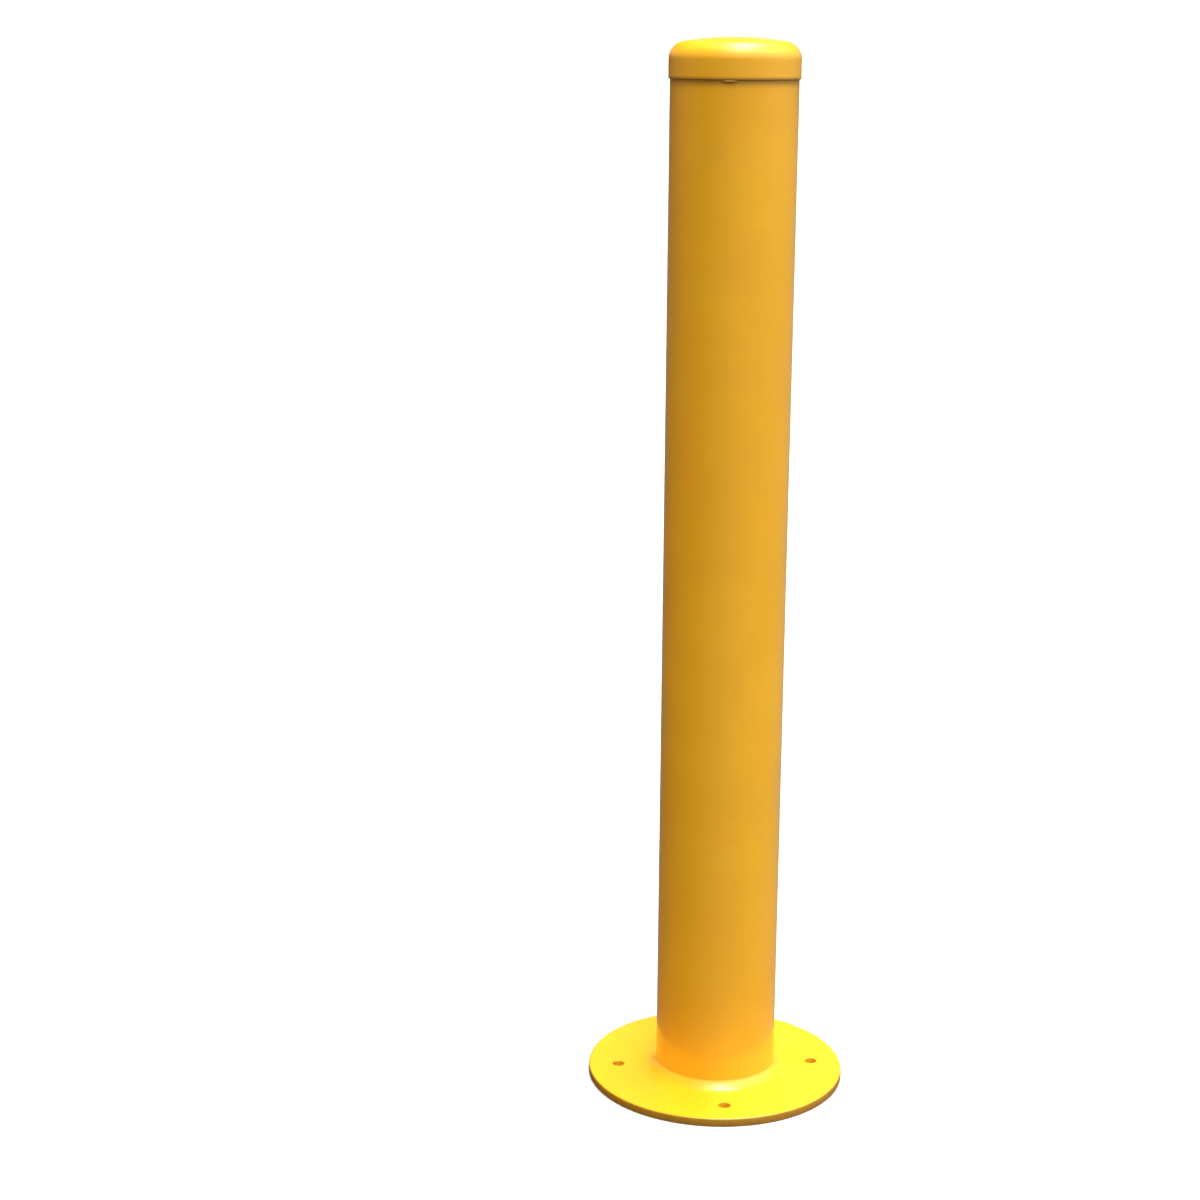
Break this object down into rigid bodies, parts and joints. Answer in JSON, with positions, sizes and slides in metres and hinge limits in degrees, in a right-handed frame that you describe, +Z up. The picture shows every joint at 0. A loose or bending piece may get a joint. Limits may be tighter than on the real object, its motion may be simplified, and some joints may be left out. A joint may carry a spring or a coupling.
{
  "type": "safety bollard",
  "caption": "Round steel safety bollard: a tall hollow post with a domed slip-over cap, fillet-welded to a round base plate with holes for floor anchors, powder coated glossy yellow.",
  "frame": {"origin": "centre of the underside of the base plate", "axes": "+Z up along the post's axis; -Y is the front, towards which one anchor hole points, turned 6 degrees about +Z towards +X"},
  "size_m": [0.3, 0.3, 1.2],
  "materials": {
    "yellow_powder_coat": "glossy powder coat over steel, fine orange peel"
  },
  "bodies": {
    "root": {"base_plate": "yellow_powder_coat", "post_tube": "yellow_powder_coat", "base_fillet_weld": "yellow_powder_coat", "top_cap": "yellow_powder_coat", "cap_tack_welds": "yellow_powder_coat"}
  },
  "joints": []
}
